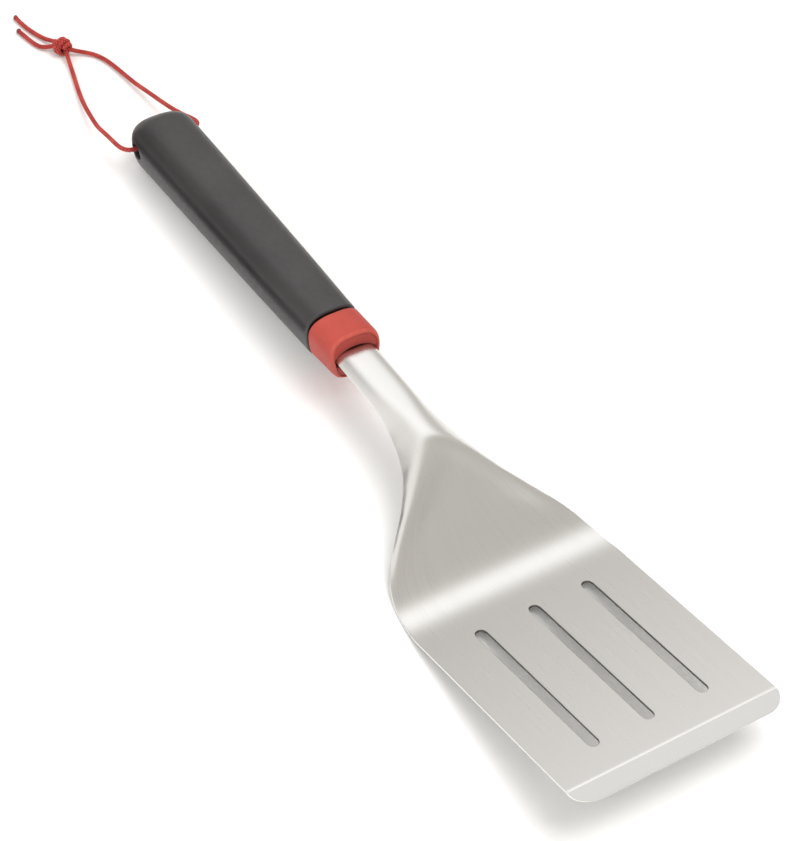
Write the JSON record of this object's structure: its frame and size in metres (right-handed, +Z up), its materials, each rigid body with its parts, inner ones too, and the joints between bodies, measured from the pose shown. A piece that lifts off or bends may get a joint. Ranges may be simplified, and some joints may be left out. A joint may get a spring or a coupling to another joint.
{
  "type": "grill spatula",
  "caption": "Slotted steel grill turner with a sloping stamped neck, red collar, soft charcoal handle and a knotted red hanging loop.",
  "frame": {"origin": "centre of the footprint of the head and handle, without the cord, on the surface the tool lies on", "axes": "+X from the handle's butt to the blade's front edge, +Y across the blade, +Z up from the surface the tool lies on"},
  "size_m": [0.5292, 0.1, 0.0361],
  "materials": {
    "steel": "fine brushing across the tool, satin",
    "red_plastic": "moulded, matte",
    "hard_core": "moulded, hidden inside the grip",
    "soft_grip": "soft-touch, satin",
    "braid": "round braided cord",
    "melted_braid": "heat-sealed cord end"
  },
  "bodies": {
    "spatula": {"spatula_head": "steel", "collar": "red_plastic", "handle_core": "hard_core", "grip_shell": "soft_grip", "tang_pin_front": "steel", "tang_pin_rear": "steel"},
    "hang_loop": {"hang_cord_left": "braid", "hang_cord_right": "braid", "cord_knot": "braid", "cord_tail_upper": "braid", "cord_tail_lower": "braid", "cord_tip_upper": "melted_braid", "cord_tip_lower": "melted_braid"}
  },
  "joints": [
    {"name": "loop_swing", "type": "hinge", "parent": "spatula", "child": "hang_loop", "pos_m": [-0.1946, 0, 0.016], "axis": [0, 1, 0], "range_deg": [0, 120]}
  ]
}
